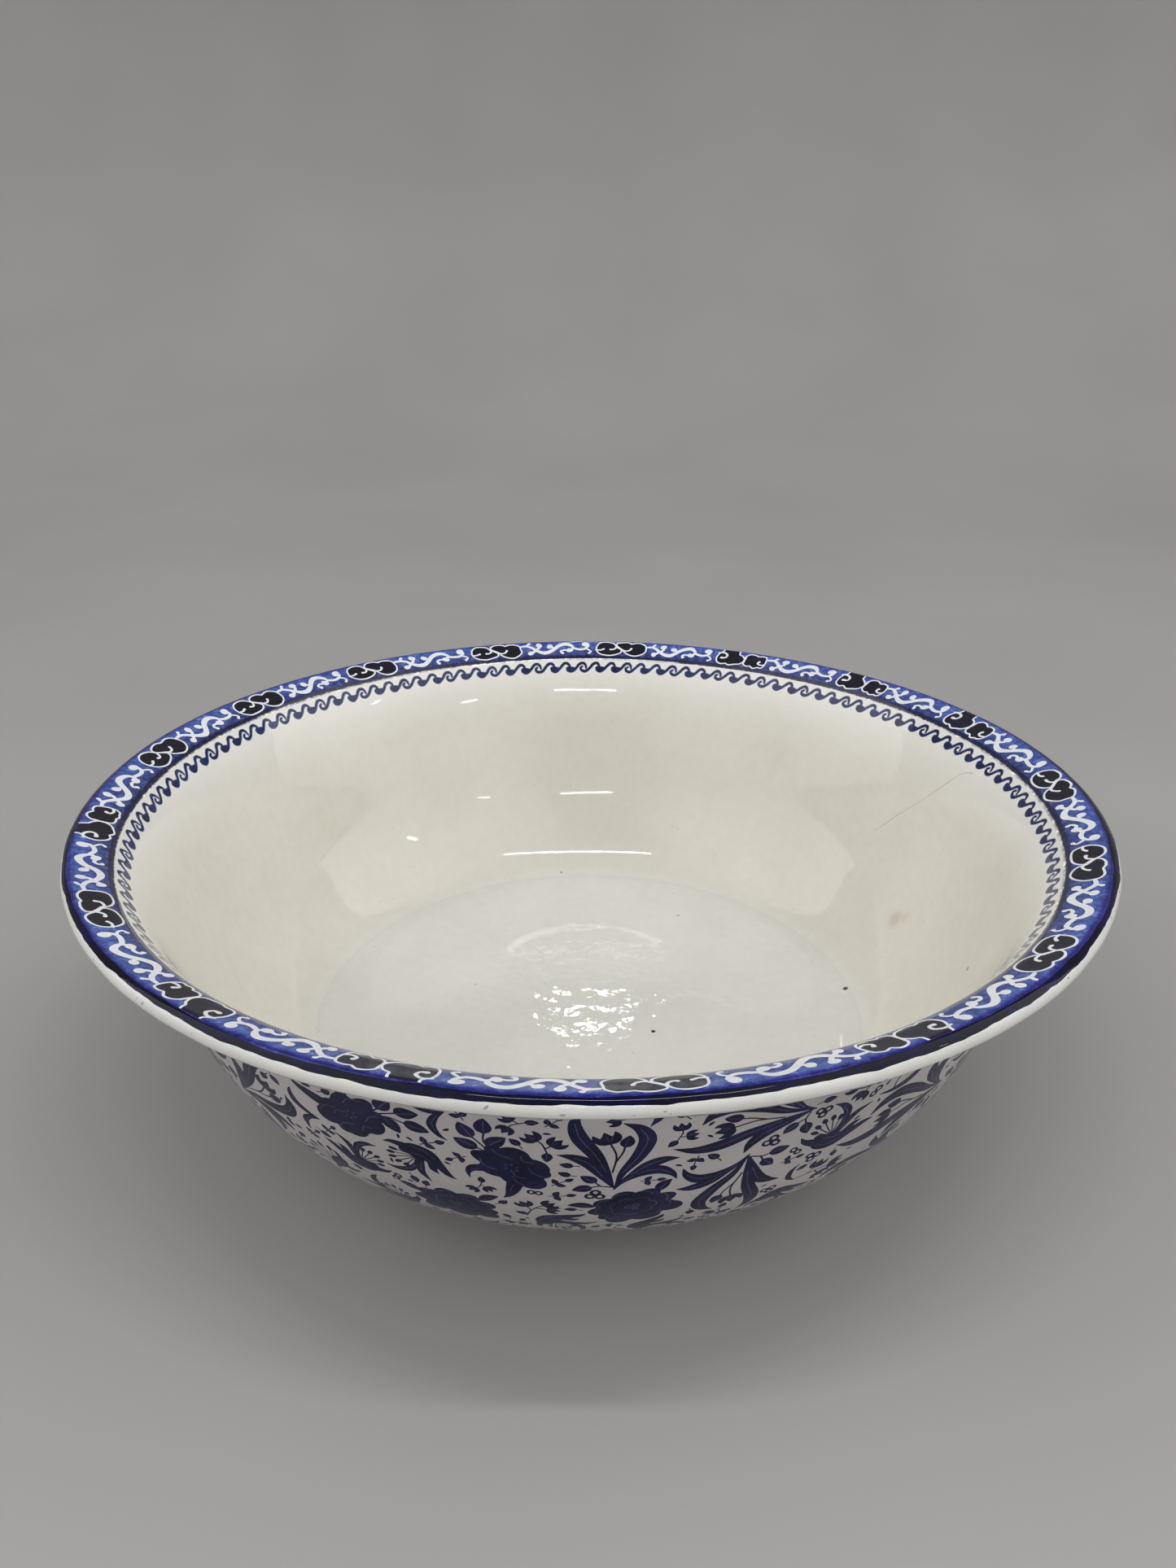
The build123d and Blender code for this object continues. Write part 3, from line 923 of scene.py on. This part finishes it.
# painted shade: the outside's white ground is darkened well below the other white glazes to stand for
# shade; the foot and the underside use it too
print_ground_painted_shade = glaze("print_ground_painted_shade", ((.44, .415, .415), (.56, .53, .53)), sheen=PRINT_SHEEN)
reserve = glaze("reserved_white", ((.8, .82, .86), (.9, .91, .93)), spot_amount=0.0)
navy = ink("navy_ink", ((.004, .005, .022), (.01, .011, .05), (.022, .018, .085)),
           sheen=PRINT_SHEEN)
vein_ink = ink("vein_ink", ((.035, .04, .1), (.06, .065, .14), (.11, .11, .2)),
               sheen=PRINT_SHEEN)
cloud_ink = ink("cloud_ink", ((.004, .004, .01), (.007, .007, .018), (.012, .012, .04)))
lace_ink = ink("lace_ink", ((.008, .013, .058), (.014, .023, .098), (.034, .053, .18)))
halo_ink = ink("halo_ink", ((.34, .37, .49), (.4, .43, .54), (.48, .5, .58)))
crack_stain = ink("crack_stain", ((.4, .33, .25), (.48, .42, .33), (.58, .53, .45)))
line_ink = ink("line_ink", ((.0025, .0025, .01), (.004, .004, .022), (.006, .005, .07)),
               .05, LINE_SHEEN)
cobalt = washed("cobalt_wash")
biscuit, tree, shader = unglazed("bare_biscuit", .75, 700, 5, (.42, .36, .28), (.62, .56, .46))
bump(tree, shader, noise(tree, 2500, 3), .0002, .5)

# ---- making the sheets
ROUND = 360  # points round the bowl where a sheet is a plain grid
OUTLINE_STEP = .8  # between the points of an uneven edge


def woven(rings, first=0):
    """Triangles between rings of points; first is the number of the first point."""
    out = []
    for j in range(rings - 1):
        for k in range(ROUND):
            a, b = (first + j * ROUND + i % ROUND for i in (k, k + 1))
            out += [(a, a + ROUND, b + ROUND), (a, b + ROUND, b)]
    return out


def printed(band, shapes, grid, looks, slot, node_name, copies=1):
    """Cuts a band along its pattern and makes one piece of each kind of surface.

    A look may name its own slot and node, in place of the band's; the slot is not used.
    """
    points, faces, owner = inlay(band.width / copies, band.height, shapes, grid, copies)
    spots, upright = band.surface(points)
    for kind, (piece_name, look, *own) in looks.items():
        sheet(piece_name, spots, upright, faces[owner == kind], look, *(own or [slot, node_name]))


def on_lip(angle):
    """Section length at an angle round the bead."""
    return span["bead"][0] + math.radians(BEAD_START - angle) * LIP_R


def below(width, level, waves, seed, bottom=-1):
    """Closed outline of all under a wavy edge, down to a level outside the band.

    The waves are (count along the edge, height), and the seed sets where they start.
    """
    rng = np.random.default_rng(seed)
    x = np.linspace(0, width, int(width / OUTLINE_STEP), endpoint=False)
    turn = FULL_TURN * x / width
    edge = level + sum(h * np.sin(k * turn + rng.uniform(0, 6.28)) for k, h in waves)
    return np.vstack([np.stack([x, edge], 1), [(width, edge[0]), (width, bottom), (0, bottom)]])


def turned(name, profile, look, slot, node_name):
    """A sheet turned from its own section."""
    p = np.array(profile, float)
    t = unit(np.gradient(p, axis=0))
    a = np.arange(ROUND) * FULL_TURN / ROUND
    c, si = np.cos(a), np.sin(a)
    places = np.concatenate([np.stack([r * c, r * si, np.full(ROUND, z)], 1) for r, z in p])
    normals = np.concatenate([np.stack([-tz * c, -tz * si, np.full(ROUND, tr)], 1) for tr, tz in t])
    sheet(name, places * MM, normals, np.array(woven(len(p))), look, slot, node_name)


# ---- inside: the floor is a flat polar grid, the wall an unrolled band with a crack in its glaze
WALL_START = 100.0  # section length where the one ends and the other starts
FLOOR_RINGS = 59
rings = np.linspace(0, WALL_START, FLOOR_RINGS + 1)[1:]
angles = np.arange(ROUND) * FULL_TURN / ROUND
middle = [(0, 1 + k, 1 + (k + 1) % ROUND) for k in range(ROUND)]
places, normals = surface(np.r_[0, np.tile(angles, FLOOR_RINGS)], np.r_[0, np.repeat(rings, ROUND)])
sheet("floor_glaze", places, normals, np.array(middle + woven(FLOOR_RINGS, 1)), cream, "cream_glaze",
      "inner_glaze")

inner_wall = Band(WALL_START, span["floor"][1])
CRACK = [(11.2, 240.4), (13.4, 235.0), (15.7, 229.6), (18.2, 220.0), (21.3, 208.6), (24.8, 197.0),
         (28.4, 184.2)]  # degrees round the bowl, section length
crack = [(math.radians(a) * inner_wall.r0, np.interp(s, inner_wall.s, inner_wall.y), .14 + .1 * (k % 2))
         for k, (a, s) in enumerate(CRACK)]
printed(inner_wall, [("crack", stroke(crack))], (3.0, 2.0),
        {"ground": ("wall_glaze", cream), "crack": ("glaze_crack", crack_stain)},
        "cream_glaze", "inner_glaze")

# ---- scroll edging
edging = Band(*span["scroll"])
printed(edging, edging_print(edging.width), (2.5, .8),
        {"ground": ("scroll_edge_ground", cream, "cream_glaze", "scroll_edge_print"),
         "halo": ("scroll_edge_halo", halo_ink), "ink": ("scroll_edge_ink", lace_ink)},
        "scroll_print", "scroll_edge_print")

# ---- rim border, with a narrow uneven gap at its inner edge
border = Band(span["border"][0], on_lip(BORDER_END))
gap = below(border.width, 1.2, [(3, .06), (11, .05), (37, .04), (90, .04)], 27)
printed(border, border_print(border.width) + [("gap", gap)], (2.5, .8),
        {"ground": ("border_cobalt", cobalt), "gap": ("border_gap", cream),
         "white": ("border_reserve", reserve), "dark": ("border_clouds", cloud_ink)},
        "border_print", "rim_border_print")

# ---- lip: the painted line, the blue that has run over its edge, small smears, the bare bead
lip = Band(on_lip(BORDER_END), on_lip(BARE_END))
line_height = (BORDER_END - LINE_END) / (BORDER_END - BARE_END) * lip.height
LINE_WAVES = [(1, .3), (2, .35), (3, .3), (7, .2), (19, .16), (41, .12), (67, .07), (83, .07),
              (131, .05), (173, .04), (260, .03)]
RUN_WAVES = [(2, .3), (3, .25), (5, .25), (9, .2), (17, .16), (43, .12), (97, .08)]
SMEARS, SMEARS_FROM = 46, .45  # how many; their lowest place, as a share of the lip
marks = [("line", below(lip.width, line_height, LINE_WAVES, 16)),
         ("wash", below(lip.width, .55, RUN_WAVES, 21))]
rng = random.Random(SEED + 6)
for _ in range(SMEARS):
    at = (rng.uniform(0, lip.width), rng.uniform(lip.height * SMEARS_FROM, lip.height))
    marks.append(("smear", moved(leaf(-1, 0, 1, .2, .8, .2), *at, rng.uniform(-60, 60),
                                 rng.uniform(.3, 1.0))))
printed(lip, marks, (1.8, .5),
        {"line": ("lip_paint", line_ink), "wash": ("lip_cobalt", cobalt), "smear": ("lip_smears", halo_ink),
         "ground": ("lip_bead", shade_white, "white_body", "bowl_body")}, "painted_line", "lip_line")

# ---- outside: a printed sheet that repeats, its upper edge cut unevenly, with loose dashes there
outside = Band(on_lip(BARE_END), span["wall"][1])
SHEETS = 4
EDGE_WAVES = [(1, .5), (3, .5), (8, .4), (21, .35), (37, .3), (60, .25)]
DASHES, DASH_ROWS = 60, (.6, 3.0)  # how many; between which heights
sheet_width = outside.width / SHEETS
flowers = scattered(sheet_width, outside.height, SEED + 7)
flowers.append(("ground", below(sheet_width, 2.9, EDGE_WAVES, 33, -3)))
for _ in range(DASHES):
    at = (rng.uniform(0, sheet_width), rng.uniform(*DASH_ROWS))
    flowers.append(("ink", moved(leaf(-1.8, 0, 1.8, .2, 1.0, .2), *at, rng.uniform(-14, 14),
                                 rng.uniform(.35, 1.2))))
printed(outside, flowers, (3.2, 2.4),
        {"ground": ("floral_ground", print_ground_painted_shade), "ink": ("floral_ink", navy),
         "vein": ("floral_veins", vein_ink)}, "floral_print", "floral_print", SHEETS)

# ---- foot ring and underside
FOOT = [WALL_POINTS[-1], (104.9, 5.6), (104.4, 3.6), (104.1, 1.8), (103.8, 1.0), (103.3, .35), (102.6, 0),
        (97.6, 0), (96.9, .35), (96.4, 1.0), (96.0, 2.2), (95.2, 5.0), (94.4, 6.9), (93.0, BASE_Z)]
turned("foot_outer", FOOT[:7], print_ground_painted_shade, "foot", "foot_ring")
turned("foot_flat", FOOT[6:8], biscuit, "foot", "foot_ring")
turned("foot_inner", FOOT[7:], print_ground_painted_shade, "foot", "foot_ring")
turned("base_underside", [(r, BASE_Z) for r in (93.0, 70, 40, 15, .5)], print_ground_painted_shade, "white_body",
       "bowl_body")

# ---- studio floor, curved up into a backdrop (places in metres)
SWEEP_HALF = 9  # half its width
SWEEP = [(-6, 0), (1.1, 0), (1.4, .03), (1.7, .12), (1.95, .3), (2.12, .55), (2.2, .9), (2.22, 4)]
floor_mesh = bpy.data.meshes.new("studio_floor")
verts = [(x, y, z) for y, z in SWEEP for x in (-SWEEP_HALF, SWEEP_HALF)]
strips = [(2 * k, 2 * k + 1, 2 * k + 3, 2 * k + 2) for k in range(len(SWEEP) - 1)]
floor_mesh.from_pydata(verts, [], strips, shade_flat=False)
floor_obj = add_object("studio_floor", floor_mesh)
studio = unglazed("studio_pale", .55, 3, 2, (.38, .375, .37), (.41, .405, .4))[0]
floor_mesh.materials.append(studio)


# ---- lamps: ceiling tubes for the thin reflections, and a small lamp for the patch on the floor
def area_light(name, place, target, size, power):
    data = bpy.data.lights.new(name, "AREA")
    data.shape = "RECTANGLE"
    data.size, data.size_y = size
    data.energy = power
    obj = add_object(name, data)
    obj.location = place
    obj.rotation_mode = "QUATERNION"
    obj.rotation_quaternion = (Vector(target) - Vector(place)).to_track_quat("-Z", "Y")
    return obj


CEILING = 1.9
RADIANCE = 38  # of the tubes
TUBES = [(.13, -.41, 1.15, .055), (.09, -3.3, 1.15, .085), (2.8, -.9, .3, .05),
         (2.56, -3.05, .4, .06)]  # x, y, length, width
for k, (x, y, tube, wide) in enumerate(TUBES):
    area_light(f"tube_{k}", (x, y, CEILING), (x, y, 0), (tube, wide), RADIANCE * math.pi * tube * wide)
LAMP_AT, LAMP_AIM, LAMP_SIZE = (.012, 1.9, 1.25), (0, .02, .014), (.12, .055)
lamp = area_light("lamp_back", LAMP_AT, LAMP_AIM, LAMP_SIZE, .00042)
lamp.data.spread = math.radians(3)

# ---- the soft light of the room: a smooth glow, strongest from both sides and weak from below
SIDE_GLOW, ROOM_GLOW = 1.35, .20
NEAR_LOSS = .4  # how much weaker the side glow is on the near side
world = bpy.data.worlds.new("studio")
world.use_nodes = True
tree = world.node_tree
way = outputs(tree, "SeparateXYZ", {"Vector": outputs(tree, "TexCoord", {})["Generated"]})
across = maths(tree, "ABSOLUTE", way["X"])
above = fade(tree, way["Z"], .3, -.1)
sides = maths(tree, "MULTIPLY", fade(tree, across, .65, 0.0), above)
sides = maths(tree, "MULTIPLY", sides, SIDE_GLOW)
near = maths(tree, "MULTIPLY", fade(tree, way["Y"], -.8, .1), -NEAR_LOSS)
sides = maths(tree, "MULTIPLY", sides, maths(tree, "ADD", near, 1.0))
background = tree.nodes["Background"]
tree.links.new(maths(tree, "ADD", sides, ROOM_GLOW), background.inputs["Strength"])
background.inputs["Color"].default_value = (1.0, .99, .975, 1)
bpy.context.scene.world = world

# ---- camera, where the photograph was taken from
LENS, SENSOR = 26.15, 36  # mm
CAMERA_AT = (-.00054, -.4262, .3145)
CAMERA_TILT = 23.82  # degrees down from level
camera_data = bpy.data.cameras.new("camera")
camera_data.lens = LENS
camera_data.sensor_width = SENSOR
camera_data.clip_start = .01
camera_data.clip_end = 50
camera = add_object("camera", camera_data)
camera.location = CAMERA_AT
camera.rotation_euler = (math.radians(90 - CAMERA_TILT), 0, 0)
bpy.context.scene.camera = camera
bpy.context.scene.view_settings.view_transform = "Standard"
